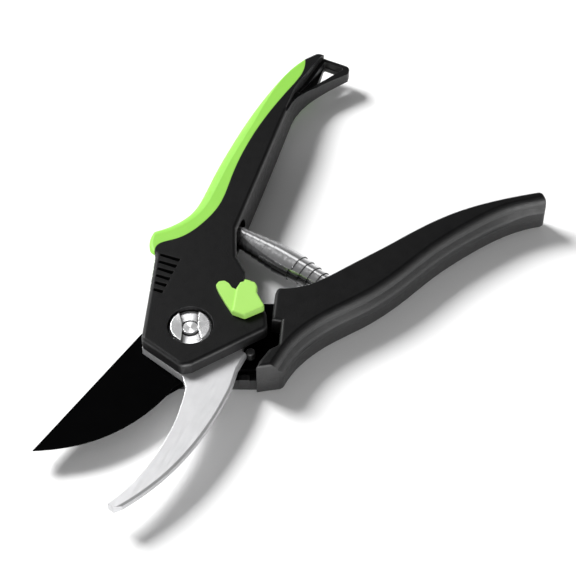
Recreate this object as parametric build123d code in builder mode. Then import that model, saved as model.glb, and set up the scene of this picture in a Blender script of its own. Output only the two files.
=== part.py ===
from build123d import *
from math import cos, hypot, radians, sin
import os

# Bypass pruner lying flat with its jaws open. Millimetres, +Z up.
# Origin: the pivot axis where it meets the surface the pruner lies on; +Y points to the blade tips.
# The hook side (hook blade, its handle, grip and lock) is the fixed half.
# The blade side (cutting blade and its handle) turns about +Z to close, through 30 degrees.

os.makedirs("parts", exist_ok=True)

# ---------------------------------------------------------------- driving dimensions
GAP = 0.1               # between pieces of one half
RUN = 0.05              # radial clearance of a turning fit
PRESS = 0.02            # radial clearance of a fixed fit

# heights above the surface the pruner lies on
BASE_TOP = 5.2          # blade-side base plate under the pivot
BLADE_LOW, BLADE_TOP = 5.3, 7.9
HOOK_LOW, HOOK_TOP = 8.0, 11.5
COVER_LOW, COVER_TOP = 11.6, 16.8
SPLIT_LOW, SPLIT_TOP = 6.5, 6.6     # parting line of the blade-side handle
BLADE_HANDLE_TOP = 15.6

# pivot
PIVOT = (0, 0)
SHANK_R = 4.0
BUSH_R = 5.0
HEAD_R, HEAD_TOP = 6.5, 2.8
BOLT_WASHER_T = 0.5
NUT_R, NUT_TOP, NUT_T = 7.2, 16.3, 3.2
NUT_SLOT_WAIST, NUT_SLOT_MOUTH, NUT_SLOT_DEPTH = 5.0, 7.2, 1.5
NUT_SLOT_ANGLE = -45.0
NUT_ROOM = 0.5          # open ring round the nut
NUT_RIM, NUT_COUNTERSINK = 0.7, 0.5
THREAD_R = 2.8          # threaded end of the bolt, in the nut
BOLT_END = 0.6          # bolt end above the floor of the nut's slot
NUT_WASHER_T = 0.5
WASHER_OVER_HEAD = 0.3
HEAD_ROOM = 0.5         # radial room round the sunk bolt head
HEAD_EDGE = 0.5
BASE_R = 15.6           # base plate round the pivot
BLADE_HEEL_R = 15.5
HEEL_MID, HEEL_END = -14.0, 20.0

# plan outlines, as (x, y) from the pivot axis
TIP_HOOK = [(-23.9, 66.2), (-26.2, 66.1), (-28.0, 64.0)]
HOOK_INNER = [(-13.2, 17.2), (-17.9, 26.0), (-21.6, 36.0), (-23.9, 47.5), (-24.7, 57.0), (-23.9, 66.2)]
HOOK_OUTER = [(-28.0, 64.0), (-30.2, 53.0), (-30.9, 41.0), (-30.3, 32.0), (-28.2, 20.0), (-24.4, 6.9)]
HOOK_SHOULDER = [(-21.3, 0.5), (-19.6, -5.9)]
HOOK_RELIEF_R = 18.4    # hook plate round the pivot, inside the stop pin's path
HOOK_RELIEF_FROM, HOOK_RELIEF_MID, HOOK_RELIEF_TO = 199.0, 220.0, 242.0
HOOK_FRONT, HOOK_FRONT_LEFT = (8.8, 14.5), (-9.4, 14.5)
HOOK_TOP_BEVEL, HOOK_LOW_BEVEL = (0.5, 0.8), (1.2, 1.2)     # along the outer edge
HOOK_TANG = [
    (4.5, -27.5), (14.5, -34.5), (23.6, -37.5), (23.8, -51.0), (26.0, -59.0), (31.6, -79.0), (35.4, -77.8),
    (31.0, -58.5), (29.2, -44.0), (29.2, -33.0), (28.4, -27.0), (26.8, -22.0), (24.3, -12.5),
]

BLADE_EDGE = [(10.0, 65.8), (4.9, 60.6), (-0.2, 54.0), (-5.9, 42.2), (-8.5, 29.5), (-8.3, 18.0)]
BLADE_BEVEL = (2.2, 3.0)
BLADE_SPINE = (14.6, 9.5)
BLADE_FRONT = [(-10.6, 9.2), (-19.6, 1.8), (-20.6, -1.6), (-29.4, -8.6)]
BLADE_TANG = [
    (-30.0, -11.0), (-28.4, -24.0), (-28.9, -33.0), (-32.4, -47.0), (-35.0, -58.0), (-37.6, -71.0),
    (-32.2, -72.0), (-28.0, -56.5), (-27.6, -42.0), (-20.4, -34.5), (-13.4, -31.4),
]

COVER_FRONT_RIGHT = (8.8, 14.6)
COVER_SIDE = [(19.8, -1.4), (28.9, -14.4)]
GRIP_BULGE = [(28.9, -14.4), (34.6, -17.8), (36.6, -23.5), (34.6, -31.0), (33.7, -38.5), (35.6, -46.5),
              (39.4, -57.0), (43.2, -69.0), (47.1, -83.5), (50.1, -98.5), (51.5, -111.0), (51.6, -122.0)]
GRIP_BORDER = [(51.6, -122.0), (46.4, -113.8), (44.5, -105.0), (42.2, -91.5), (37.6, -72.5), (31.4, -56.5),
               (26.9, -45.6), (25.9, -35.5), (28.6, -24.0), (31.3, -18.9), (28.9, -14.4)]
GRIP_CORE_INNER = [(43.0, -109.0), (40.2, -91.5), (35.6, -72.5), (29.4, -56.5), (24.9, -45.6), (23.9, -35.5),
                   (26.8, -24.5)]
GRIP_CORE_OUTER = [(32.0, -23.5), (31.0, -31.0), (30.6, -39.5), (32.6, -48.5), (36.4, -59.5), (41.2, -75.0),
                   (45.8, -95.0), (47.4, -109.0)]
HOOK_HANDLE_END = [(51.6, -122.0), (50.4, -128.2), (37.4, -131.6), (36.0, -128.4)]
HOOK_HANDLE_INNER = [(36.0, -128.4), (39.3, -119.0), (41.1, -109.5), (39.2, -98.6)]
HOOK_HANDLE_THROAT = [(39.2, -98.6), (15.7, -41.7), (12.7, -38.2), (7.4, -32.3), (-3.4, -27.3),
                      (-16.2, -20.3), (-20.4, -15.9), (-10.9, 11.6), (-8.6, 14.4)]

BLADE_HANDLE_NOSE = [(-11.4, -31.7), (-12.4, -29.2), (-18.6, -20.1), (-21.5, -21.6), (-27.0, -13.8),
                     (-25.8, -10.3), (-26.4, -4.6), (-27.4, -1.8), (-33.2, -8.6)]
BLADE_HANDLE_OUTER = [(-33.2, -8.6), (-31.7, -17.0), (-33.5, -32.0), (-38.4, -47.0), (-41.5, -62.0),
                      (-43.5, -79.0), (-47.0, -94.5), (-52.4, -109.5), (-60.2, -121.0)]
BLADE_HANDLE_INNER = [(-55.2, -124.2), (-45.6, -111.2), (-38.4, -99.0), (-33.4, -87.0), (-28.4, -70.0),
                      (-23.4, -53.5), (-18.2, -39.4), (-11.4, -31.7)]
BASE_FRONT = (-4.6, 14.9)
BASE_RIM_MID, BASE_RIM_END = 30.0, 106.0
BASE_TANGENT = -48.0    # degrees, where the base plate's edge leaves the circle round the pivot

# the hook-side back shell starts behind this line, clear of the turning base plate
BACK_CLEARANCE = [(30.0, 10.0), (19.2, -0.9), (16.4, -4.0), (7.6, -32.8), (-30.0, -45.0), (-30.0, 30.0)]
TANG_POCKET_FRONT = [HOOK_FRONT, (-9.0, -16.0)]
TANG_POCKET_END = (-20.0, 5.0)      # front of the blade tang's pocket, clear of the handle

# side profiles: distance from the pivot along the handle, height
HOOK_HANDLE_RUN = -69.0     # direction of the handle in the plan, degrees
HOOK_TOP_TAPER = [(88.0, COVER_TOP), (140.0, 11.6)]
HOOK_LOW_TAPER = [(70.0, 0.0), (140.0, 5.6)]
BLADE_HANDLE_RUN = -114.0
BLADE_LOW_TAPER = [(60.0, 0.0), (140.0, 2.2)]
BEHIND = -45.0          # the profiles start this far behind the pivot
HALF_WIDTH = 80.0

EDGE_ROUND = 1.4
BLADE_EDGE_ROUND = 1.2
EDGES_ABOVE, EDGES_BELOW = 11.0, 6.5    # heights that tell the top edges and the bottom edges apart
CORE_LOW, CORE_TOP = 3.0, 14.0      # handle material under the soft grip
FAR_OUT = 75.0          # plan distance beyond everything

# rounded flanks, as (distance in from the plan outline, height)
BLADE_FLANK_TOP = [(4.5, 15.7), (3.0, 15.0), (2.0, 13.7), (1.5, 12.0)]
BLADE_FLANK_LOW = [(1.5, 12.0), (1.1, 11.4), (0.35, 10.2), (0.0, 8.0)]
GRIP_FLANK_TOP = [(4.6, 16.9), (2.6, 16.2), (0.9, 14.6), (0.0, 11.6)]
GRIP_FLANK_LOW = [(0.0, 5.0), (0.6, 2.2), (1.8, 0.5), (3.4, -0.1)]
HOOK_CORNER_ROUNDS = [(COVER_FRONT_RIGHT, 2.0), (HOOK_HANDLE_THROAT[-1], 3.0), (HOOK_HANDLE_THROAT[-3], 2.5),
                      (HOOK_HANDLE_END[1], 2.5), (HOOK_HANDLE_END[2], 2.2)]
BLADE_CORNER_ROUNDS = [(BLADE_HANDLE_NOSE[0], 1.5), (BLADE_HANDLE_NOSE[4], 1.5), (BLADE_HANDLE_NOSE[-1], 2.5),
                       (BLADE_HANDLE_OUTER[-1], 1.8), (BLADE_HANDLE_INNER[0], 1.8)]
FLANK_LEAD = 4.0        # the flank cutters start and end this far beyond the outline's ends
FLANK_OUT = 6.0
GRIP_FLANK_EXIT = [(37.2, -25.0), (41.8, -19.0)]    # leaves the grip smoothly behind its front knob

# spring
SPRING_Z = 8.2
SPRING_FIXED = (21.5, -44.0)
SPRING_MOVING = (-25.4, -47.9)
SPRING_END_R, SPRING_MID_R = 3.3, 5.35
SPRING_MID = 0.56       # share of the length where the coils are widest
SPRING_WALL = 0.9
SPRING_STEPS = 5
SOCKET_R, MOVING_SOCKET_R = 6.0, 5.4
SOCKET_REACH = 16.0
PEG_R, PEG_LENGTH = 1.9, 5.0
FLANGE_R, FLANGE_T = 3.6, 1.0

# lock
LOCK_PIN_AT = (-8.3, -15.2)
LOCK_PIN_R = 1.5
LOCK_WASHER_R, LOCK_WASHER_T = 2.6, 0.3
LOCK_LOW, LOCK_TOP = COVER_TOP + LOCK_WASHER_T, 19.6
LOCK_TOOTH_LOW = 12.4
LOCK_TOOTH_IN, LOCK_TOOTH_OUT = 9.4, 11.8
LOCK_TOOTH_FROM, LOCK_TOOTH_TO = 291.0, 301.0
LOCK_TURN = 32.0        # clockwise, from free to locked
NOTCH_ROOM, NOTCH_TURN = 0.5, 3.0
LOCK_NOTCH_OUT = 17.0   # the cover's notch for the tooth runs out through its edge
LOCK_PRONG_TOP = 18.4
LOCK_BODY = [(-8.2, -12.0), (-12.6, -13.3), (-15.5, -20.5), (-9.6, -23.2), (-8.0, -25.3), (-6.2, -26.2),
             (-3.6, -25.2), (-2.3, -22.9), (-2.9, -20.3)]
LOCK_PRONG = [(-2.9, -20.3), (-1.2, -19.9), (0.6, -20.6), (2.6, -20.6), (3.9, -19.0), (3.6, -17.2),
              (0.9, -15.7), (-3.9, -13.6), (-8.2, -12.0)]
LOCK_TIP_ROUND, LOCK_CORNER_ROUND, LOCK_EDGE_ROUND = 0.9, 1.2, 0.7

# fasteners
SCREW_R, SCREW_HEAD_R, SCREW_HEAD_T = 1.5, 2.2, 1.6
HOOK_SCREWS = [(24.5, -22.5), (28.6, -60.5), (39.4, -92.0)]
BLADE_SCREWS = [(-24.2, -27.5), (-33.4, -65.0), (-41.2, -94.5)]
SCREW_LOW = 1.4         # faces of the sunk screw heads
HOOK_SCREW_TOP, BLADE_SCREW_TOP = 14.4, 12.8
RIVET_R = 1.8
SCREW_CROSS, SCREW_CROSS_W = 2.6, 0.6
RIVET_LOW = 3.0
HOOK_RIVETS, HOOK_RIVET_TOP = [(19.0, -24.5), (26.9, -53.5)], 13.2
BLADE_RIVETS, BLADE_RIVET_TOP = [(-26.2, -21.0), (-31.8, -57.5)], 10.4
STOP_PIN_AT = (-19.7, -7.8)
STOP_PIN_R, STOP_PIN_TOP = 1.6, 11.0
PIN_CHAMFER = 0.4

# thumb ribs pressed into the cover's edge
RIBS = 6
RIB_FROM, RIB_TO = (27.8, -15.8), (19.5, -3.3)
RIB_LONG, RIB_SHORT = 7.3, 3.5
RIB_DIRECTION = 199.0
RIB_WIDE, RIB_NARROW, RIB_DEPTH = 1.6, 1.15, 1.6    # inner end, outer end, depth
RIB_SCALLOP = (1.5, 1.2)            # nick in the cover's side at each rib, along and across the rib
RIB_SCALLOP_AT, RIB_SCALLOP_LOW = 1.75, 12.6

# hang loop through the end of the hook-side handle
LOOP_HOLE = [(42.6, -118.5), (40.6, -120.0), (38.9, -129.4), (46.6, -127.4)]
LOOP_ROUND = 0.7
LOOP_RAMP = [(42.4, -107.5), (40.8, -119.5), (38.7, -129.6), (46.6, -127.6)]
RAMP_FROM, RAMP_FROM_Z = 108.0, 10.8
RAMP_TO, RAMP_TO_Z = 131.0, 7.0
SCOOP_PLAN = [(34.0, -90.0), (39.4, -96.5), (43.6, -106.5), (47.6, -125.2), (48.4, -133.0), (32.0, -135.0)]
SCOOP_FROM, SCOOP_FROM_Z = 98.0, COVER_TOP + 0.2
SCOOP_TO, SCOOP_TO_Z = 122.0, 10.0
SCOOP_END, SCOOP_END_Z = 145.0, 9.4
HIGH = 30.0             # above everything

# the grip's front lip rises clear of the surface
LIP_RELIEF = [(10.0, -1.0), (10.0, 17.5), (22.5, 17.5), (31.5, 10.5), (40.0, 3.0), (48.0, -1.0)]
LIP_RELIEF_PLAN = [(28.9, -14.2), (31.4, -22.0), (32.2, -32.0), (34.0, -42.0), (60.0, -42.0), (60.0, -4.0),
                   (35.0, -4.0)]

# lug on the base plate, beside the blade
LUG_AT, LUG_ANGLE = (-23.2, -0.4), 39.4
LUG_SIZE = (3.4, 2.2)
LUG_LOW, LUG_TOP = 2.8, 7.0
BASE_CORNER = [(-31.2, -7.0), (-29.0, -14.0), (-26.0, -26.0)]


# ---------------------------------------------------------------- helpers
def polar(centre, radius, degrees):
    """Point at a radius and an angle from a centre."""
    angle = radians(degrees)
    return (centre[0] + radius * cos(angle), centre[1] + radius * sin(angle))


def round_corner(sketch, point, radius):
    """Round the corner of the sketch that lies nearest to a point."""
    fillet(sketch.vertices().sort_by_distance((point[0], point[1], sketch.vertices()[0].Z))[0], radius)


def beyond(inner, end, distance):
    """Point past the end of a line, this far on from its end."""
    run = (end[0] - inner[0], end[1] - inner[1])
    share = distance / hypot(*run)
    return (end[0] + run[0] * share, end[1] + run[1] * share)


def tapered_bar(start, length, direction, start_width, end_width):
    """Corners of a straight bar in the plan whose width changes along it."""
    end = polar(start, length, direction)
    return [polar(start, start_width / 2, direction + 90), polar(end, end_width / 2, direction + 90),
            polar(end, end_width / 2, direction - 90), polar(start, start_width / 2, direction - 90)]


def flank_plane(path):
    """Plane across the start of a path: local x points into the handle, local y up."""
    return Plane(origin=path @ 0, x_dir=Vector(0, 0, 1).cross(path % 0), z_dir=path % 0)


def side_plane(run):
    """Upright plane through the pivot axis: local x runs along a handle, local y is up."""
    angle = radians(run)
    return Plane(origin=(0, 0, 0), x_dir=(cos(angle), sin(angle), 0), z_dir=(sin(angle), -cos(angle), 0))


def spring_plane(start, end):
    """Upright plane whose local x axis runs along the spring from start to end."""
    length = hypot(end[0] - start[0], end[1] - start[1])
    run = ((end[0] - start[0]) / length, (end[1] - start[1]) / length)
    return Plane(origin=(start[0], start[1], SPRING_Z), x_dir=(*run, 0), z_dir=(run[1], -run[0], 0))


def face_along(plane, offset):
    """Plane square to a spring plane's local x axis, at a distance along it."""
    return Plane(origin=plane.from_local_coords((offset, 0, 0)), z_dir=plane.x_dir)


def draw_sector(centre, inner, outer, start, end):
    """Ring sector about a centre, drawn into the line builder in use."""
    middle = (start + end) / 2
    ThreePointArc(polar(centre, inner, start), polar(centre, inner, middle), polar(centre, inner, end))
    Line(polar(centre, inner, end), polar(centre, outer, end))
    ThreePointArc(polar(centre, outer, end), polar(centre, outer, middle), polar(centre, outer, start))
    Line(polar(centre, outer, start), polar(centre, inner, start))


def save(name, builder):
    """Label a finished piece and write it."""
    builder.part.label = name
    export_step(builder.part, f"parts/{name}.step")


def draw_hook_handle():
    """Whole plan outline of the hook-side handle, grip included."""
    Polyline(HOOK_HANDLE_THROAT[-1], COVER_FRONT_RIGHT, *COVER_SIDE)
    Spline(*GRIP_BULGE)
    Polyline(*HOOK_HANDLE_END)
    Spline(*HOOK_HANDLE_INNER)
    Polyline(*HOOK_HANDLE_THROAT)


def draw_blade_handle():
    """Plan outline of the blade-side handle."""
    Polyline(*BLADE_HANDLE_NOSE)
    Spline(*BLADE_HANDLE_OUTER)
    Line(BLADE_HANDLE_OUTER[-1], BLADE_HANDLE_INNER[0])
    Spline(*BLADE_HANDLE_INNER)


nut_floor = NUT_TOP - NUT_T - NUT_WASHER_T
spring_line = spring_plane(SPRING_FIXED, SPRING_MOVING)
spring_length = hypot(SPRING_MOVING[0] - SPRING_FIXED[0], SPRING_MOVING[1] - SPRING_FIXED[1])

# ---------------------------------------------------------------- solid forms of the two handles
with BuildPart() as hook_envelope:
    with BuildSketch(side_plane(HOOK_HANDLE_RUN)):
        with BuildLine():
            Polyline(HOOK_LOW_TAPER[0], (BEHIND, 0), (BEHIND, COVER_TOP), HOOK_TOP_TAPER[0])
            TangentArc(*HOOK_TOP_TAPER, tangent=(1, 0))
            Line(HOOK_TOP_TAPER[1], HOOK_LOW_TAPER[1])
            TangentArc(*HOOK_LOW_TAPER, tangent=(1, 0))
        make_face()
    extrude(amount=HALF_WIDTH, both=True)

with BuildPart() as blade_envelope:
    with BuildSketch(side_plane(BLADE_HANDLE_RUN)):
        with BuildLine():
            Polyline(BLADE_LOW_TAPER[0], (BEHIND, 0), (BEHIND, BLADE_HANDLE_TOP),
                     (BLADE_LOW_TAPER[1][0], BLADE_HANDLE_TOP), BLADE_LOW_TAPER[1])
            TangentArc(*BLADE_LOW_TAPER, tangent=(1, 0))
        make_face()
    extrude(amount=HALF_WIDTH, both=True)

with BuildPart() as hook_form:
    with BuildSketch() as hook_form_plan:
        with BuildLine():
            draw_hook_handle()
        make_face()
        for corner, radius in HOOK_CORNER_ROUNDS:
            round_corner(hook_form_plan, corner, radius)
    extrude(amount=COVER_TOP)
    add(hook_envelope.part, mode=Mode.INTERSECT)
    fillet(hook_form.edges().filter_by(lambda e: e.center().Z > EDGES_ABOVE), EDGE_ROUND)
    fillet(hook_form.edges().filter_by(lambda e: e.center().Z < EDGES_BELOW), EDGE_ROUND)

with BuildPart() as lip_relief:
    with BuildSketch(side_plane(HOOK_HANDLE_RUN)):
        Polygon(*LIP_RELIEF, align=None)
    extrude(amount=HALF_WIDTH, both=True)
    with BuildSketch(Plane.XY.offset(-HIGH)):
        Polygon(*LIP_RELIEF_PLAN, align=None)
    extrude(amount=2 * HIGH, mode=Mode.INTERSECT)

with BuildPart() as blade_form:
    with BuildSketch() as blade_form_plan:
        with BuildLine():
            draw_blade_handle()
        make_face()
        for corner, radius in BLADE_CORNER_ROUNDS:
            round_corner(blade_form_plan, corner, radius)
    extrude(amount=BLADE_HANDLE_TOP)
    add(blade_envelope.part, mode=Mode.INTERSECT)
    fillet(blade_form.edges().filter_by(lambda e: e.center().Z > EDGES_ABOVE), BLADE_EDGE_ROUND)
    fillet(blade_form.edges().filter_by(lambda e: e.center().Z < EDGES_BELOW), BLADE_EDGE_ROUND)

with BuildPart() as blade_flank:
    with BuildLine() as blade_flank_path:
        Spline(beyond(BLADE_HANDLE_OUTER[1], BLADE_HANDLE_OUTER[0], FLANK_LEAD), *BLADE_HANDLE_OUTER,
               beyond(BLADE_HANDLE_OUTER[-2], BLADE_HANDLE_OUTER[-1], FLANK_LEAD))
    with BuildSketch(flank_plane(blade_flank_path.line)):
        with BuildLine():
            Spline(*BLADE_FLANK_TOP)
            Spline(*BLADE_FLANK_LOW)
            Polyline(BLADE_FLANK_LOW[-1], (-FLANK_OUT, BLADE_FLANK_LOW[-1][1]), (-FLANK_OUT, HIGH),
                     (BLADE_FLANK_TOP[0][0], HIGH), BLADE_FLANK_TOP[0])
        make_face()
    sweep(path=blade_flank_path.line)

with BuildPart() as grip_flank:
    with BuildLine() as grip_flank_path:
        Spline(beyond(GRIP_BULGE[-2], GRIP_BULGE[-1], FLANK_LEAD), *GRIP_BULGE[:2:-1], *GRIP_FLANK_EXIT)
    with BuildSketch(flank_plane(grip_flank_path.line)):
        with BuildLine():
            Spline(*GRIP_FLANK_TOP)
            Line(GRIP_FLANK_TOP[-1], GRIP_FLANK_LOW[0])
            Spline(*GRIP_FLANK_LOW)
            Polyline(GRIP_FLANK_LOW[-1], (-FLANK_OUT, GRIP_FLANK_LOW[-1][1]), (-FLANK_OUT, HIGH),
                     (GRIP_FLANK_TOP[0][0], HIGH), GRIP_FLANK_TOP[0])
        make_face()
    sweep(path=grip_flank_path.line)

with BuildPart() as loop_scoop:
    with BuildSketch(side_plane(HOOK_HANDLE_RUN)):
        Polygon((SCOOP_FROM, SCOOP_FROM_Z), (SCOOP_TO, SCOOP_TO_Z), (SCOOP_END, SCOOP_END_Z),
                (SCOOP_END, HIGH), (SCOOP_FROM, HIGH), align=None)
    extrude(amount=HALF_WIDTH, both=True)
    with BuildSketch() as scoop_plan:
        Polygon(*SCOOP_PLAN, align=None)
    extrude(amount=HIGH, mode=Mode.INTERSECT)

with BuildPart() as loop_ramp:
    with BuildSketch(side_plane(HOOK_HANDLE_RUN)):
        Polygon((RAMP_FROM, RAMP_FROM_Z), (RAMP_TO, RAMP_TO_Z), (SCOOP_END, RAMP_TO_Z),
                (SCOOP_END, HIGH), (RAMP_FROM, HIGH), align=None)
    extrude(amount=HALF_WIDTH, both=True)
    with BuildSketch() as ramp_plan:
        Polygon(*LOOP_RAMP, align=None)
        for corner in LOOP_RAMP[1:]:
            round_corner(ramp_plan, corner, LOOP_ROUND)
    extrude(amount=HIGH, mode=Mode.INTERSECT)

with BuildPart() as loop_hole:
    with BuildSketch() as loop_plan:
        Polygon(*LOOP_HOLE, align=None)
        for corner in LOOP_HOLE[1:]:
            round_corner(loop_plan, corner, LOOP_ROUND)
    extrude(amount=HIGH)

# ---------------------------------------------------------------- hook side: hook blade
with BuildPart() as hook_blade:
    with BuildSketch(Plane.XY.offset(HOOK_LOW)):
        with BuildLine():
            Polyline(HOOK_FRONT, HOOK_FRONT_LEFT, HOOK_INNER[0])
            Spline(*HOOK_INNER)
            Polyline(*TIP_HOOK)
            Spline(*HOOK_OUTER)
            relief = [
                polar(PIVOT, HOOK_RELIEF_R, degrees)
                for degrees in (HOOK_RELIEF_FROM, HOOK_RELIEF_MID, HOOK_RELIEF_TO)
            ]
            Polyline(HOOK_OUTER[-1], *HOOK_SHOULDER, relief[0])
            ThreePointArc(*relief)
            Polyline(relief[-1], *HOOK_TANG, HOOK_FRONT)
        make_face()
        Circle(BUSH_R + PRESS, mode=Mode.SUBTRACT)
        with Locations(*HOOK_RIVETS):
            Circle(RIVET_R, mode=Mode.SUBTRACT)
        with Locations(*HOOK_SCREWS[:2]):
            Circle(SCREW_R + GAP, mode=Mode.SUBTRACT)
    extrude(amount=HOOK_TOP - HOOK_LOW)
    for level, bevel in ((-1, HOOK_TOP_BEVEL), (0, HOOK_LOW_BEVEL)):
        rim = hook_blade.edges().group_by(Axis.Z)[level]
        shoulder = rim.filter_by(
            lambda e: e.center().X < HOOK_SHOULDER[1][0] and e.center().Y < HOOK_OUTER[-1][1]
        )
        chamfer([rim.filter_by(GeomType.BSPLINE).sort_by(Axis.X)[0], *shoulder], *bevel)
save("hook_blade", hook_blade)

# ---------------------------------------------------------------- hook side: cover, back shell and soft grip
with BuildPart() as grip_band:
    with BuildSketch():
        with BuildLine():
            Spline(*GRIP_BORDER)
            Polyline(GRIP_BORDER[-1], (FAR_OUT, GRIP_BORDER[-1][1]), (FAR_OUT, GRIP_BORDER[0][1]), GRIP_BORDER[0])
        make_face()
    extrude(amount=HIGH)

with BuildPart() as grip_core:
    with BuildSketch(Plane.XY.offset(CORE_LOW)):
        with BuildLine():
            Spline(*GRIP_CORE_INNER)
            Line(GRIP_CORE_INNER[-1], GRIP_CORE_OUTER[0])
            Spline(*GRIP_CORE_OUTER)
            Line(GRIP_CORE_OUTER[-1], GRIP_CORE_INNER[0])
        make_face()
    extrude(amount=CORE_TOP - CORE_LOW)

with BuildPart() as grip_place:
    add(hook_form.part)
    add(grip_band.part, mode=Mode.INTERSECT)
    add(grip_core.part, mode=Mode.SUBTRACT)

with BuildPart() as grip_pieces:
    add(grip_place.part)
    for cut in (grip_flank, lip_relief, loop_scoop, loop_ramp, loop_hole):
        add(cut.part, mode=Mode.SUBTRACT)

with BuildPart() as soft_grip:
    add(grip_pieces.part.solids().sort_by(SortBy.VOLUME)[-1])
save("soft_grip", soft_grip)

with BuildPart() as fixed_socket:
    with BuildSketch(face_along(spring_line, 0)):
        Circle(SOCKET_R)
    extrude(amount=SOCKET_REACH)

with BuildPart() as moving_socket:
    with BuildSketch(face_along(spring_line, spring_length)):
        Circle(MOVING_SOCKET_R)
    extrude(amount=-SOCKET_REACH)

with BuildPart() as hook_handle_cover:
    add(hook_form.part)
    split(bisect_by=Plane.XY.offset(COVER_LOW), keep=Keep.TOP)
    for cut in (grip_place, loop_scoop, loop_ramp, loop_hole, fixed_socket):
        add(cut.part, mode=Mode.SUBTRACT)
    with BuildSketch(Plane.XY.offset(nut_floor)):
        Circle(NUT_R + NUT_ROOM)
    extrude(amount=HIGH, mode=Mode.SUBTRACT)
    with BuildSketch(Plane.XY.offset(COVER_LOW)):
        Circle(SHANK_R + GAP)
        with Locations(LOCK_PIN_AT):
            Circle(LOCK_PIN_R)
    extrude(amount=HIGH, mode=Mode.SUBTRACT)
    with BuildSketch(Plane.XY.offset(COVER_LOW)):
        with BuildLine():
            draw_sector(LOCK_PIN_AT, LOCK_TOOTH_IN - NOTCH_ROOM, LOCK_NOTCH_OUT,
                        LOCK_TOOTH_FROM - LOCK_TURN - NOTCH_TURN, LOCK_TOOTH_TO + NOTCH_TURN)
        make_face()
    extrude(amount=HIGH, mode=Mode.SUBTRACT)
    with BuildSketch(Plane.XY.offset(COVER_LOW)):
        with Locations(*HOOK_RIVETS):
            Circle(RIVET_R)
    extrude(amount=HOOK_RIVET_TOP - COVER_LOW, mode=Mode.SUBTRACT)
    with BuildSketch(Plane.XY.offset(COVER_LOW)):
        with Locations(*HOOK_SCREWS):
            Circle(SCREW_R)
    extrude(amount=HOOK_SCREW_TOP - COVER_LOW, mode=Mode.SUBTRACT)
    with BuildSketch(Plane.XY.offset(COVER_TOP - RIB_DEPTH)):
        for rib in range(RIBS):
            share = rib / (RIBS - 1)
            start = (RIB_FROM[0] + share * (RIB_TO[0] - RIB_FROM[0]),
                     RIB_FROM[1] + share * (RIB_TO[1] - RIB_FROM[1]))
            length = RIB_LONG + share * (RIB_SHORT - RIB_LONG)
            Polygon(*tapered_bar(start, length, RIB_DIRECTION, RIB_NARROW, RIB_WIDE), align=None)
    extrude(amount=HIGH, mode=Mode.SUBTRACT)
    with BuildSketch(Plane.XY.offset(RIB_SCALLOP_LOW)):
        for rib in range(RIBS):
            share = rib / (RIBS - 1)
            start = (RIB_FROM[0] + share * (RIB_TO[0] - RIB_FROM[0]),
                     RIB_FROM[1] + share * (RIB_TO[1] - RIB_FROM[1]))
            with Locations(polar(start, -RIB_SCALLOP_AT, RIB_DIRECTION)):
                Rectangle(*RIB_SCALLOP, rotation=RIB_DIRECTION)
    extrude(amount=HIGH, mode=Mode.SUBTRACT)
save("hook_handle_cover", hook_handle_cover)

with BuildPart() as hook_handle_back:
    add(hook_form.part)
    split(bisect_by=Plane.XY.offset(HOOK_TOP), keep=Keep.BOTTOM)
    with BuildSketch():
        Polygon(*BACK_CLEARANCE, align=None)
    extrude(amount=HIGH, mode=Mode.SUBTRACT)
    for cut in (grip_place, lip_relief, loop_scoop, loop_ramp, loop_hole, fixed_socket):
        add(cut.part, mode=Mode.SUBTRACT)
    with BuildSketch(Plane.XY.offset(HOOK_LOW - GAP)):
        with BuildLine():
            Polyline(*HOOK_TANG, *TANG_POCKET_FRONT, HOOK_TANG[0])
        make_face()
        offset(amount=GAP)
    extrude(amount=HIGH, mode=Mode.SUBTRACT)
    with BuildSketch(Plane.XY.offset(RIVET_LOW)):
        with Locations(*HOOK_RIVETS):
            Circle(RIVET_R)
    extrude(amount=HIGH, mode=Mode.SUBTRACT)
    with BuildSketch():
        with Locations(*HOOK_SCREWS):
            Circle(SCREW_R + GAP)
    extrude(amount=HIGH, mode=Mode.SUBTRACT)
    with BuildSketch():
        with Locations(*HOOK_SCREWS):
            Circle(SCREW_HEAD_R + GAP)
    extrude(amount=SCREW_LOW + SCREW_HEAD_T, mode=Mode.SUBTRACT)
save("hook_handle_back", hook_handle_back)

# ---------------------------------------------------------------- pivot hardware, on the hook side
with BuildPart() as pivot_bolt:
    with BuildSketch():
        Circle(HEAD_R)
    extrude(amount=HEAD_TOP)
    with BuildSketch():
        Circle(SHANK_R)
    extrude(amount=nut_floor)
    with BuildSketch():
        Circle(THREAD_R)
    extrude(amount=NUT_TOP - NUT_SLOT_DEPTH + BOLT_END)
    chamfer(pivot_bolt.edges().group_by(Axis.Z)[-1], PIN_CHAMFER)
    chamfer(pivot_bolt.edges().group_by(Axis.Z)[0], HEAD_EDGE)
save("pivot_bolt", pivot_bolt)

with BuildPart() as bolt_washer:
    with BuildSketch(Plane.XY.offset(HEAD_TOP)):
        Circle(HEAD_R + WASHER_OVER_HEAD)
        Circle(SHANK_R + GAP, mode=Mode.SUBTRACT)
    extrude(amount=BOLT_WASHER_T)
save("bolt_washer", bolt_washer)

with BuildPart() as pivot_bushing:
    with BuildSketch(Plane.XY.offset(HEAD_TOP + BOLT_WASHER_T)):
        Circle(BUSH_R)
        Circle(SHANK_R + PRESS, mode=Mode.SUBTRACT)
    extrude(amount=HOOK_TOP - HEAD_TOP - BOLT_WASHER_T)
save("pivot_bushing", pivot_bushing)

with BuildPart() as nut_washer:
    with BuildSketch(Plane.XY.offset(nut_floor)):
        Circle(NUT_R - GAP)
        Circle(THREAD_R + GAP, mode=Mode.SUBTRACT)
    extrude(amount=NUT_WASHER_T)
save("nut_washer", nut_washer)

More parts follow.
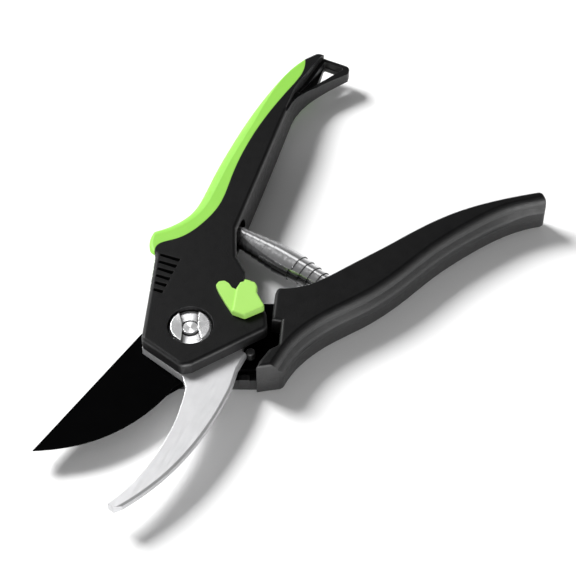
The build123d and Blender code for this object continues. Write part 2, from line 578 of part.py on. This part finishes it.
with BuildPart() as pivot_nut:
    with BuildSketch(Plane.XY.offset(NUT_TOP - NUT_T)):
        Circle(NUT_R)
    extrude(amount=NUT_T)
    chamfer(pivot_nut.edges().group_by(Axis.Z)[-1], NUT_RIM)
    with BuildSketch(Plane.XY.offset(NUT_TOP - NUT_SLOT_DEPTH)):
        for direction in (NUT_SLOT_ANGLE, NUT_SLOT_ANGLE + 180):
            Polygon(*tapered_bar(PIVOT, NUT_R, direction, NUT_SLOT_WAIST, NUT_SLOT_MOUTH), align=None)
    extrude(amount=NUT_T, mode=Mode.SUBTRACT)
    with BuildSketch(Plane.XY.offset(NUT_TOP - NUT_SLOT_DEPTH)):
        Circle(THREAD_R + NUT_COUNTERSINK)
    extrude(amount=-2 * NUT_COUNTERSINK, mode=Mode.SUBTRACT)
    with BuildSketch(Plane.XY.offset(NUT_TOP - NUT_T)):
        Circle(THREAD_R)
    extrude(amount=NUT_T, mode=Mode.SUBTRACT)
save("pivot_nut", pivot_nut)

# ---------------------------------------------------------------- fasteners, each kind one group
for name, places, top in (
    ("hook_handle_screws", HOOK_SCREWS, HOOK_SCREW_TOP),
    ("blade_handle_screws", BLADE_SCREWS, BLADE_SCREW_TOP),
):
    with BuildPart() as screw_group:
        with BuildSketch(Plane.XY.offset(SCREW_LOW)):
            with Locations(*places):
                Circle(SCREW_HEAD_R)
        extrude(amount=SCREW_HEAD_T)
        with BuildSketch(Plane.XY.offset(SCREW_LOW)):
            with Locations(*places):
                Circle(SCREW_R)
        extrude(amount=top - SCREW_LOW)
        with BuildSketch(Plane.XY.offset(SCREW_LOW)):
            with Locations(*places):
                Rectangle(SCREW_CROSS, SCREW_CROSS_W)
                Rectangle(SCREW_CROSS_W, SCREW_CROSS)
        extrude(amount=SCREW_CROSS_W, mode=Mode.SUBTRACT)
    save(name, screw_group)

for name, places, radius, low, top in (
    ("hook_rivets", HOOK_RIVETS, RIVET_R, RIVET_LOW, HOOK_RIVET_TOP),
    ("blade_rivets", BLADE_RIVETS, RIVET_R, RIVET_LOW, BLADE_RIVET_TOP),
    ("stop_pin", [STOP_PIN_AT], STOP_PIN_R, RIVET_LOW, STOP_PIN_TOP),
    ("lock_pin", [LOCK_PIN_AT], LOCK_PIN_R, COVER_LOW + PIN_CHAMFER, LOCK_PRONG_TOP),
):
    with BuildPart() as pin_group:
        with BuildSketch(Plane.XY.offset(low)):
            with Locations(*places):
                Circle(radius)
        extrude(amount=top - low)
        chamfer(pin_group.edges().group_by(Axis.Z)[-1], PIN_CHAMFER)
    save(name, pin_group)

# ---------------------------------------------------------------- lock lever and its washer
with BuildPart() as lock_washer:
    with BuildSketch(Plane.XY.offset(COVER_TOP)):
        with Locations(LOCK_PIN_AT):
            Circle(LOCK_WASHER_R)
            Circle(LOCK_PIN_R + PRESS, mode=Mode.SUBTRACT)
    extrude(amount=LOCK_WASHER_T)
save("lock_washer", lock_washer)

with BuildPart() as lock_lever:
    with BuildSketch(Plane.XY.offset(LOCK_LOW)) as prong_plan:
        Polygon(*LOCK_PRONG, align=None)
        fillet(prong_plan.vertices().sort_by(Axis.X)[-3:], LOCK_TIP_ROUND)
    extrude(amount=LOCK_PRONG_TOP - LOCK_LOW)
    with BuildSketch(Plane.XY.offset(LOCK_LOW)) as body_plan:
        Polygon(*LOCK_BODY, align=None)
        fillet(body_plan.vertices().sort_by(Axis.X)[:2], LOCK_CORNER_ROUND)
        fillet(body_plan.vertices().sort_by(Axis.Y)[:4], LOCK_TIP_ROUND)
    extrude(amount=LOCK_TOP - LOCK_LOW)
    fillet(lock_lever.edges().group_by(Axis.Z)[-1], LOCK_EDGE_ROUND)
    with BuildSketch(Plane.XY.offset(LOCK_TOOTH_LOW)):
        with BuildLine():
            draw_sector(LOCK_PIN_AT, LOCK_TOOTH_IN, LOCK_TOOTH_OUT, LOCK_TOOTH_FROM, LOCK_TOOTH_TO)
        make_face()
    extrude(amount=LOCK_PRONG_TOP - LOCK_TOOTH_LOW)
    with BuildSketch(Plane.XY.offset(LOCK_LOW)):
        with Locations(LOCK_PIN_AT):
            Circle(LOCK_PIN_R + RUN)
    extrude(amount=LOCK_PRONG_TOP + GAP - LOCK_LOW, mode=Mode.SUBTRACT)
save("lock_lever", lock_lever)

# ---------------------------------------------------------------- blade side: cutting blade
with BuildPart() as cutting_blade:
    with BuildSketch(Plane.XY.offset(BLADE_LOW)):
        with BuildLine():
            Spline(*BLADE_EDGE)
            heel = [polar(PIVOT, BLADE_HEEL_R, degrees) for degrees in (BASE_TANGENT, HEEL_MID, HEEL_END)]
            Polyline(BLADE_EDGE[-1], *BLADE_FRONT, *BLADE_TANG, heel[0])
            ThreePointArc(*heel)
            Polyline(heel[-1], BLADE_SPINE, BLADE_EDGE[0])
        make_face()
        Circle(BUSH_R + RUN, mode=Mode.SUBTRACT)
        with Locations(*BLADE_RIVETS):
            Circle(RIVET_R, mode=Mode.SUBTRACT)
        with Locations(STOP_PIN_AT):
            Circle(STOP_PIN_R, mode=Mode.SUBTRACT)
        with Locations(*BLADE_SCREWS[:2]):
            Circle(SCREW_R + GAP, mode=Mode.SUBTRACT)
    extrude(amount=BLADE_TOP - BLADE_LOW)
    cutting_edge = cutting_blade.edges().filter_by(GeomType.BSPLINE).group_by(Axis.Z)[0]
    chamfer(cutting_edge, length=BLADE_BEVEL[0], length2=BLADE_BEVEL[1])
save("cutting_blade", cutting_blade)

# ---------------------------------------------------------------- blade side: handle shells
with BuildPart() as tang_pocket:
    with BuildSketch(Plane.XY.offset(BLADE_LOW - GAP)):
        Polygon(BLADE_FRONT[-1], *BLADE_TANG, polar(PIVOT, BLADE_HEEL_R, BASE_TANGENT),
                TANG_POCKET_END, align=None)
        offset(amount=GAP)
    extrude(amount=BLADE_TOP - BLADE_LOW + 2 * GAP)

with BuildPart() as blade_handle_cover:
    add(blade_form.part)
    split(bisect_by=Plane.XY.offset(SPLIT_TOP), keep=Keep.TOP)
    for cut in (blade_flank, tang_pocket, moving_socket):
        add(cut.part, mode=Mode.SUBTRACT)
    with BuildSketch(Plane.XY.offset(SPLIT_TOP)):
        with Locations(*BLADE_RIVETS):
            Circle(RIVET_R)
    extrude(amount=BLADE_RIVET_TOP - SPLIT_TOP, mode=Mode.SUBTRACT)
    with BuildSketch(Plane.XY.offset(SPLIT_TOP)):
        with Locations(*BLADE_SCREWS):
            Circle(SCREW_R)
    extrude(amount=BLADE_SCREW_TOP - SPLIT_TOP, mode=Mode.SUBTRACT)
save("blade_handle_cover", blade_handle_cover)

with BuildPart() as blade_handle_back:
    add(blade_form.part)
    split(bisect_by=Plane.XY.offset(SPLIT_LOW), keep=Keep.BOTTOM)
    with BuildSketch():
        with BuildLine():
            rim = [polar(PIVOT, BASE_R, degrees) for degrees in (BASE_TANGENT, BASE_RIM_MID, BASE_RIM_END)]
            Polyline(rim[-1], BASE_FRONT, *BASE_CORNER, BLADE_HANDLE_NOSE[0], rim[0])
            ThreePointArc(*rim)
        make_face()
    extrude(amount=BASE_TOP)
    add([tang_pocket.part, moving_socket.part], mode=Mode.SUBTRACT)
    with BuildSketch(Plane.XY.offset(LUG_LOW)):
        with Locations(LUG_AT):
            Rectangle(*LUG_SIZE, rotation=LUG_ANGLE)
    extrude(amount=LUG_TOP - LUG_LOW)
    with BuildSketch():
        Circle(BUSH_R + RUN)
        with Locations(*BLADE_SCREWS):
            Circle(SCREW_R + GAP)
    extrude(amount=HIGH, mode=Mode.SUBTRACT)
    with BuildSketch():
        Circle(HEAD_R + HEAD_ROOM)
    extrude(amount=HEAD_TOP + BOLT_WASHER_T + RUN, mode=Mode.SUBTRACT)
    with BuildSketch():
        with Locations(*BLADE_SCREWS):
            Circle(SCREW_HEAD_R + GAP)
    extrude(amount=SCREW_LOW + SCREW_HEAD_T, mode=Mode.SUBTRACT)
    with BuildSketch(Plane.XY.offset(RIVET_LOW)):
        with Locations(*BLADE_RIVETS):
            Circle(RIVET_R)
        with Locations(STOP_PIN_AT):
            Circle(STOP_PIN_R)
    extrude(amount=HIGH, mode=Mode.SUBTRACT)
save("blade_handle_back", blade_handle_back)

# ---------------------------------------------------------------- spring and its two seats
for name, along, towards in (("hook_spring_seat", 0, 1), ("blade_spring_seat", spring_length, -1)):
    with BuildPart() as seat:
        with BuildSketch(face_along(spring_line, along)):
            Circle(FLANGE_R)
        extrude(amount=towards * FLANGE_T)
        with BuildSketch(face_along(spring_line, along)):
            Circle(PEG_R)
        extrude(amount=towards * PEG_LENGTH)
    save(name, seat)


def coil_steps(start, end, steps):
    """Stepped outline of one half of the spring, from its thin end to its middle."""
    outline = []
    for step in range(steps):
        radius = SPRING_END_R + (SPRING_MID_R - SPRING_END_R) * step / (steps - 1)
        outline.append((start + (end - start) * step / steps, radius))
        outline.append((start + (end - start) * (step + 1) / steps, radius))
    return outline


with BuildPart() as volute_spring:
    near, far = FLANGE_T, spring_length - FLANGE_T
    middle = spring_length * SPRING_MID
    outside = coil_steps(near, middle, SPRING_STEPS) + coil_steps(far, middle, SPRING_STEPS)[::-1][1:]
    inside = [(along, radius - SPRING_WALL) for along, radius in outside[::-1]]
    with BuildSketch(spring_line):
        Polygon(*outside, *inside, align=None)
    revolve(axis=Axis(spring_line.origin, spring_line.x_dir))
save("volute_spring", volute_spring)
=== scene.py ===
import math

import bpy
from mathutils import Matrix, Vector


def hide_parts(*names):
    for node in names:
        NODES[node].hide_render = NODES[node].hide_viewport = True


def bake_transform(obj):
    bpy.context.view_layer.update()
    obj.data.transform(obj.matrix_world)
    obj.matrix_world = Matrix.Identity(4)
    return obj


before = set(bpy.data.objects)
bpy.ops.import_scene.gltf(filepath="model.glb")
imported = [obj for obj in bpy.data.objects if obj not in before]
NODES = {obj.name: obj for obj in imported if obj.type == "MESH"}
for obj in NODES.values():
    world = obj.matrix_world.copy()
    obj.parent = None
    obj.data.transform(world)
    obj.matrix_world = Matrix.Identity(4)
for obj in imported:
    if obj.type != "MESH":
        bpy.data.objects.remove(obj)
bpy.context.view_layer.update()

MM = 0.001
RANGE_SOCKETS = ("From Min", "From Max", "To Min", "To Max")
SOFT_SAMPLES = 6        # of the bevel and ambient occlusion nodes


# ---------------------------------------------------------------- material nodes
class Graph:
    """Short-hand for building one node material round a Principled shader.

    Noise scales count features per metre, and bump distances and radii are in metres.
    """

    def __init__(self, name):
        self.material = bpy.data.materials.new(name)
        self.material.use_nodes = True
        self.tree = self.material.node_tree
        self.tree.nodes.clear()
        self.output = self.add("ShaderNodeOutputMaterial")
        self.shader = self.add("ShaderNodeBsdfPrincipled")
        self.link(self.shader.outputs["BSDF"], self.output.inputs["Surface"])
        self.place = self.add("ShaderNodeTexCoord").outputs["Object"]

    def add(self, kind, **values):
        node = self.tree.nodes.new(kind)
        for key, value in values.items():
            setattr(node, key, value)
        return node

    def link(self, source, target):
        self.tree.links.new(source, target)

    def set(self, **values):
        """Constant values on the shader's own sockets, named with _ for a space."""
        for key, value in values.items():
            self.shader.inputs[key.replace("_", " ")].default_value = value

    def stretch(self, scale, turn=0.0):
        """Object coordinates turned about Z, then scaled."""
        turned = self.add("ShaderNodeMapping")
        turned.inputs["Rotation"].default_value = (0, 0, math.radians(turn))
        self.link(self.place, turned.inputs["Vector"])
        scaled = self.add("ShaderNodeMapping")
        scaled.inputs["Scale"].default_value = scale
        self.link(turned.outputs["Vector"], scaled.inputs["Vector"])
        return scaled.outputs["Vector"]

    def noise(self, scale, detail=2.0, vector=None, rough=0.5):
        node = self.add("ShaderNodeTexNoise")
        node.inputs["Scale"].default_value = scale
        node.inputs["Detail"].default_value = detail
        node.inputs["Roughness"].default_value = rough
        self.link(vector or self.place, node.inputs["Vector"])
        return node.outputs["Fac"]

    def ramp(self, value, low, high, to_low, to_high):
        """Value from low to high, spread over to_low to to_high and held there."""
        node = self.add("ShaderNodeMapRange")
        for key, number in zip(RANGE_SOCKETS, (low, high, to_low, to_high)):
            node.inputs[key].default_value = number
        self.link(value, node.inputs["Value"])
        return node.outputs["Result"]

    def maths(self, operation, a, b=0.0):
        node = self.add("ShaderNodeMath", operation=operation)
        for socket, value in zip(node.inputs, (a, b)):
            if isinstance(value, (int, float)):
                socket.default_value = value
            else:
                self.link(value, socket)
        return node.outputs["Value"]

    def mix(self, share, dark, light):
        """Colour between two colours or sockets."""
        node = self.add("ShaderNodeMix", data_type="RGBA")
        self.link(share, node.inputs["Factor"])
        for socket, value in ((node.inputs[6], dark), (node.inputs[7], light)):
            if isinstance(value, tuple):
                socket.default_value = (*value, 1)
            else:
                self.link(value, socket)
        return node.outputs[2]

    def bump(self, height, distance, strength=1.0, under=None):
        node = self.add("ShaderNodeBump")
        node.inputs["Strength"].default_value = strength
        node.inputs["Distance"].default_value = distance
        self.link(height, node.inputs["Height"])
        if under is not None:
            self.link(under, node.inputs["Normal"])
        return node.outputs["Normal"]

    def soft_edges(self, radius):
        """Normals rounded over sharp edges."""
        node = self.add("ShaderNodeBevel", samples=SOFT_SAMPLES)
        node.inputs["Radius"].default_value = radius
        return node.outputs["Normal"]

    def edges(self, radius, low, high):
        """1 on sharp edges, 0 on faces."""
        rounded = self.soft_edges(radius)
        product = self.add("ShaderNodeVectorMath", operation="DOT_PRODUCT")
        self.link(rounded, product.inputs[0])
        self.link(self.add("ShaderNodeNewGeometry").outputs["Normal"], product.inputs[1])
        return self.ramp(product.outputs["Value"], 1 - low, 1 - high, 0.0, 1.0)

    def shelter(self, reach, low, high):
        """0 deep in a recess, 1 on open faces."""
        node = self.add("ShaderNodeAmbientOcclusion", samples=SOFT_SAMPLES, only_local=True)
        node.inputs["Distance"].default_value = reach
        return self.ramp(node.outputs["AO"], low, high, 0.0, 1.0)

    def upward(self):
        """How much a face looks up or down: 1 flat, 0 upright."""
        apart = self.add("ShaderNodeSeparateXYZ")
        self.link(self.add("ShaderNodeNewGeometry").outputs["True Normal"], apart.inputs[0])
        return self.maths("ABSOLUTE", apart.outputs["Z"])

    def colour(self, source):
        self.link(source, self.shader.inputs["Base Color"])

    def roughness(self, source):
        self.link(source, self.shader.inputs["Roughness"])

    def normal(self, source):
        self.link(source, self.shader.inputs["Normal"])


def moulded_plastic(name, dark, light, rough, grain, top_gloss, wall_gloss, edge_light=None):
    """Injection-moulded plastic with a spark-eroded grain, glossier on the walls than on the flat faces."""
    g = Graph(name)
    g.link(g.ramp(g.upward(), 0.35, 0.95, wall_gloss, top_gloss), g.shader.inputs["Specular IOR Level"])
    cloud = g.noise(70, 3)
    colour = g.mix(cloud, dark, light)
    if edge_light:
        # colour a little lighter on the sharp edges
        edge_share = g.maths("MULTIPLY", g.edges(0.0005, 0.02, 0.25), 0.6)
        colour = g.mix(edge_share, colour, edge_light)
    g.colour(colour)
    mottle = g.noise(420, 4)
    g.roughness(g.ramp(mottle, 0.3, 0.7, rough - 0.06, rough + 0.08))
    sink = g.bump(g.noise(55, 2), 0.0002, 0.05, g.soft_edges(0.0003))
    sparks = g.noise(1900, 3, rough=0.7)
    g.normal(g.bump(sparks, 0.00009 * grain, 0.8, sink))
    return g.material


def satin_steel():
    """Ground steel with streaks along the blade, a little rougher on its side faces."""
    g = Graph("satin_steel")
    g.set(Metallic=0.72)
    flat = g.upward()
    streaks = g.noise(1, 3, g.stretch((2600, 90, 2600), -18))
    face = g.mix(g.noise(160, 4), (0.60, 0.60, 0.61), (0.74, 0.74, 0.75))
    side = g.mix(g.noise(900, 4), (0.56, 0.56, 0.57), (0.74, 0.74, 0.75))
    g.colour(g.mix(g.ramp(flat, 0.25, 0.75, 0.0, 1.0), side, face))
    streaked = g.ramp(streaks, 0.3, 0.7, 0.30, 0.40)
    side_extra = g.ramp(flat, 0.25, 0.75, 0.12, 0.0)
    g.roughness(g.maths("ADD", streaked, side_extra))
    pits = g.bump(g.noise(1300, 2), 0.00002, 0.5, g.soft_edges(0.0003))
    g.normal(g.bump(streaks, 0.000012, 0.6, pits))
    return g.material


def coated_steel():
    """Black non-stick coating, very slightly worn at the edges."""
    g = Graph("coated_steel")
    g.set(Metallic=0.0, IOR=1.04)
    edge_share = g.maths("MULTIPLY", g.edges(0.0003, 0.03, 0.3), 0.05)
    coating = g.mix(g.noise(120, 3), (0.0006, 0.0006, 0.0007), (0.0013, 0.0013, 0.0014))
    g.colour(g.mix(edge_share, coating, (0.30, 0.30, 0.31)))
    streaks = g.noise(1, 3, g.stretch((3000, 120, 3000), 8))
    g.roughness(g.ramp(streaks, 0.3, 0.7, 0.42, 0.56))
    grain = g.noise(1900, 2)
    g.normal(g.bump(grain, 0.00002, 0.4, g.soft_edges(0.0002)))
    return g.material


def polished_steel(name, dark, light, rough):
    """Bright plated steel with faint handling scratches."""
    g = Graph(name)
    g.set(Metallic=1.0)
    g.colour(g.mix(g.noise(260, 3), dark, light))
    scratches = g.noise(1, 4, g.stretch((5200, 260, 900), 32))
    g.roughness(g.ramp(scratches, 0.35, 0.75, rough, rough + 0.10))
    g.normal(g.bump(scratches, 0.000008, 0.5, g.soft_edges(0.0002)))
    return g.material


def spring_strip_steel():
    """Bright strip steel, with painted shade on its upright faces."""
    g = Graph("spring_steel")
    g.set(Metallic=0.95)
    bright = g.mix(g.noise(260, 3), (0.72, 0.72, 0.73), (0.90, 0.90, 0.91))
    # painted shade: colour nearly black where a face is upright, bright where it looks up or down
    unshaded = g.ramp(g.upward(), 0.10, 0.50, 0.0, 1.0)
    g.colour(g.mix(unshaded, (0.05, 0.05, 0.05), bright))
    mottle = g.noise(900, 2)
    g.roughness(g.ramp(mottle, 0.3, 0.7, 0.15, 0.22))
    return g.material


def turned_steel():
    """Bright plated steel with lathe marks round the Z axis, and painted shade in its recesses."""
    g = Graph("chrome_steel")
    g.set(Metallic=1.0, Anisotropic=0.75)
    plate = g.mix(g.noise(500, 3), (0.66, 0.66, 0.67), (0.95, 0.95, 0.96))
    # painted shade: the colour goes nearly black deep in recesses, found by ambient occlusion
    unshaded = g.shelter(0.0024, 0.55, 0.97)
    g.colour(g.mix(unshaded, (0.03, 0.03, 0.03), plate))
    apart = g.add("ShaderNodeSeparateXYZ")
    g.link(g.place, apart.inputs[0])
    across, along = (g.maths("POWER", apart.outputs[axis], 2.0) for axis in "XY")
    from_axis = g.maths("SQRT", g.maths("ADD", across, along))
    lathe_marks = g.maths("SINE", g.maths("MULTIPLY", from_axis, 26000.0))
    g.roughness(g.ramp(g.noise(300, 3), 0.3, 0.7, 0.22, 0.36))
    g.normal(g.bump(lathe_marks, 0.000004, 0.35, g.soft_edges(0.00025)))
    around = g.add("ShaderNodeTangent", direction_type="RADIAL", axis="Z")
    g.link(around.outputs["Tangent"], g.shader.inputs["Tangent"])
    return g.material


def rubber(name, dark, light):
    """Soft overmoulded rubber: waxy, with a very fine orange peel."""
    g = Graph(name)
    g.set(Specular_IOR_Level=0.35, Subsurface_Weight=0.12, Subsurface_Scale=0.0015)
    g.shader.inputs["Subsurface Radius"].default_value = (0.8, 1.0, 0.3)
    g.colour(g.mix(g.noise(110, 3), dark, light))
    mottle = g.noise(600, 3)
    g.roughness(g.ramp(mottle, 0.3, 0.7, 0.44, 0.56))
    peel = g.bump(g.noise(380, 2), 0.00006, 0.25, g.soft_edges(0.0003))
    grain = g.noise(2600, 2)
    g.normal(g.bump(grain, 0.00003, 0.5, peel))
    return g.material


BLACK = moulded_plastic("black_plastic", (0.0028, 0.0028, 0.0030), (0.0046, 0.0046, 0.0048),
                        rough=0.44, grain=1.0, top_gloss=0.12, wall_gloss=1.0,
                        edge_light=(0.03, 0.03, 0.03))
LOCK_GREEN = moulded_plastic("green_plastic", (0.33, 0.62, 0.12), (0.37, 0.67, 0.15),
                             rough=0.36, grain=0.4, top_gloss=0.15, wall_gloss=0.5)
GRIP_GREEN = rubber("green_grip", (0.22, 0.53, 0.055), (0.26, 0.59, 0.075))
SATIN = satin_steel()
COATED = coated_steel()
CHROME = turned_steel()
SPRING = spring_strip_steel()
DARK_STEEL = polished_steel("dark_steel", (0.07, 0.07, 0.07), (0.20, 0.20, 0.20), rough=0.42)
ZINC = polished_steel("zinc_steel", (0.42, 0.43, 0.45), (0.60, 0.61, 0.62), rough=0.34)
BRONZE = polished_steel("bronze", (0.50, 0.33, 0.15), (0.62, 0.42, 0.20), rough=0.30)

FINISHES = {
    "hook_blade": SATIN, "cutting_blade": COATED,
    "hook_handle_cover": BLACK, "hook_handle_back": BLACK, "soft_grip": GRIP_GREEN,
    "blade_handle_cover": BLACK, "blade_handle_back": BLACK,
    "lock_lever": LOCK_GREEN, "lock_pin": ZINC, "lock_washer": ZINC,
    "pivot_bolt": CHROME, "pivot_nut": CHROME, "pivot_bushing": BRONZE,
    "bolt_washer": ZINC, "nut_washer": ZINC, "stop_pin": DARK_STEEL,
    "hook_handle_screws": ZINC, "blade_handle_screws": ZINC, "hook_rivets": ZINC, "blade_rivets": ZINC,
    "hook_spring_seat": BLACK, "blade_spring_seat": BLACK, "volute_spring": SPRING,
}
for name, material in FINISHES.items():
    mesh = NODES[name].data
    mesh.materials.clear()
    mesh.materials.append(material)

SHARP_ABOVE = 20        # degrees between faces


def piece(name, points, faces, material, smooth=True):
    """New mesh object in the shared frame, in metres from millimetre points."""
    mesh = bpy.data.meshes.new(name)
    mesh.from_pydata([Vector(p) * MM for p in points], [], faces)
    mesh.validate()
    mesh.materials.append(material)
    if smooth:
        mesh.shade_smooth()
        mesh.set_sharp_from_angle(angle=math.radians(SHARP_ABOVE))
    made = bpy.data.objects.new(name, mesh)
    bpy.context.scene.collection.objects.link(made)
    return made


# ---------------------------------------------------------------- volute spring
SPRING_FROM = Vector((21.5, -44.0, 8.2))        # hook side end, mm
SPRING_TO = Vector((-25.4, -47.9, 8.2))         # blade side end
SPRING_LENGTH = (SPRING_TO - SPRING_FROM).length
WIDEST = SPRING_LENGTH * 0.56                   # distance along the axis
STRIP_THICK = 0.55
STEPS_PER_TURN = 48
FIRST_ANGLE = 40                                # degrees
# corners of the strip's section, as shares of its width and thickness
STRIP_SECTION = [(-0.5, -0.30), (-0.47, -0.5), (0.47, -0.5), (0.5, -0.30),
                 (0.5, 0.30), (0.47, 0.5), (-0.47, 0.5), (-0.5, 0.30)]


def spring_strip(start, end, r_start, r_end, turns, width, hand):
    """Flat strip wound into overlapping turns that widen from start to end, along the spring's axis."""
    axis = (SPRING_TO - SPRING_FROM).normalized()
    side = axis.cross(Vector((0, 0, 1))).normalized()
    up = side.cross(axis)
    steps = int(turns * STEPS_PER_TURN)
    points, faces = [], []
    for step in range(steps + 1):
        share = step / steps
        angle = math.radians(FIRST_ANGLE) + hand * share * turns * 2 * math.pi
        along = start + (end - start) * share
        radius = r_start + (r_end - r_start) * share
        out = side * math.cos(angle) + up * math.sin(angle)
        for across, thick in STRIP_SECTION:
            reach = radius + (thick - 0.5) * STRIP_THICK
            points.append(SPRING_FROM + axis * (along + across * width) + out * reach)
    count = len(STRIP_SECTION)
    for step in range(steps):
        for k in range(count):
            a, b = step * count + k, step * count + (k + 1) % count
            faces.append((a, b, b + count, a + count))
    faces.append(tuple(reversed(range(count))))
    faces.append(tuple(range(steps * count, (steps + 1) * count)))
    return points, faces


def join(*parts):
    """One list of points and one of faces from several pairs."""
    points, faces = [], []
    for more_points, more_faces in parts:
        offset = len(points)
        points += more_points
        faces += [tuple(i + offset for i in face) for face in more_faces]
    return points, faces


hook_end = spring_strip(start=4.2, end=WIDEST - 1.0, r_start=3.35, r_end=5.35, turns=7.0, width=6.4, hand=1)
blade_end = spring_strip(start=SPRING_LENGTH - 3.6, end=WIDEST + 1.0, r_start=3.0, r_end=5.20,
                         turns=5.0, width=4.2, hand=-1)
spring = piece("volute_spring_strip", *join(hook_end, blade_end), SPRING)
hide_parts("volute_spring")
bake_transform(spring)


# ---------------------------------------------------------------- floor, light and camera
RIGHT = Vector((-0.766, -0.643, 0))             # picture directions in the shared frame
AWAY = Vector((0.643, -0.766, 0))
UP = Vector((0, 0, 1))
AIM = Vector((-10.7, -38.0, 8.0)) * MM
CAMERA_ANGLE = math.radians(52.5)               # above the horizon
CAMERA_DISTANCE = 0.6867
LENS_MM, SENSOR_MM = 125.0, 36.0
FLOOR_REACH = 4000                              # mm
FLOOR_DROP = 0.0002                             # m
WORLD_FADE = (0.15, 0.50, 0.50, 0.14)           # sine of the height angle from, to; brightness from, to
# right, away and up from the aim point in m, size in m, power in W
SOFTBOXES = {
    "key": (-0.80, 0.60, 0.94, (0.44, 0.44), 28),
    "front": (0.25, -1.2, 0.24, (1.3, 0.26), 12),
    "back_panel": (0.0, 0.85, 1.1, (0.50, 0.36), 0.60),
}


def studio_floor():
    g = Graph("studio_floor")
    g.colour(g.mix(g.noise(30, 2), (0.90, 0.90, 0.90), (0.92, 0.92, 0.92)))
    g.set(Roughness=0.9, Specular_IOR_Level=0.1)
    grain = g.noise(900, 2)
    g.normal(g.bump(grain, 0.00001, 0.3))
    corners = [(x * FLOOR_REACH, y * FLOOR_REACH, 0) for x, y in ((-1, -1), (1, -1), (1, 1), (-1, 1))]
    floor = piece("studio_floor", corners, [(0, 1, 2, 3)], g.material, smooth=False)
    floor.location.z = -FLOOR_DROP


def softbox(name, right, away, up, size, power):
    """Rectangular lamp facing the aim point."""
    light = bpy.data.lights.new(name, "AREA")
    light.shape = "RECTANGLE"
    light.size, light.size_y = size
    light.energy = power
    lamp = bpy.data.objects.new(name, light)
    bpy.context.scene.collection.objects.link(lamp)
    lamp.location = AIM + RIGHT * right + AWAY * away + UP * up
    lamp.rotation_euler = (AIM - lamp.location).to_track_quat("-Z", "Y").to_euler()


def studio_world():
    """Bright low walls all round under a dim ceiling."""
    world = bpy.data.worlds.new("studio")
    bpy.context.scene.world = world
    world.use_nodes = True
    nodes, links = world.node_tree.nodes, world.node_tree.links
    apart = nodes.new("ShaderNodeSeparateXYZ")
    links.new(nodes.new("ShaderNodeTexCoord").outputs["Generated"], apart.inputs[0])
    fade = nodes.new("ShaderNodeMapRange")
    fade.interpolation_type = "SMOOTHSTEP"
    for key, number in zip(RANGE_SOCKETS, WORLD_FADE):
        fade.inputs[key].default_value = number
    links.new(apart.outputs["Z"], fade.inputs["Value"])
    links.new(fade.outputs["Result"], nodes["Background"].inputs["Strength"])
    nodes["Background"].inputs["Color"].default_value = (1, 1, 1, 1)


def studio_camera():
    camera = bpy.data.cameras.new("camera")
    camera.lens = LENS_MM
    camera.sensor_width = SENSOR_MM
    holder = bpy.data.objects.new("camera", camera)
    bpy.context.scene.collection.objects.link(holder)
    back = -AWAY * math.cos(CAMERA_ANGLE) + UP * math.sin(CAMERA_ANGLE)
    holder.location = AIM + back * CAMERA_DISTANCE
    holder.rotation_mode = "QUATERNION"
    holder.rotation_quaternion = (-back).to_track_quat("-Z", "Y")
    bpy.context.scene.camera = holder


def studio():
    studio_floor()
    studio_world()
    for name, placing in SOFTBOXES.items():
        softbox(name, *placing)
    studio_camera()
    bpy.context.scene.view_settings.view_transform = "Standard"


studio()
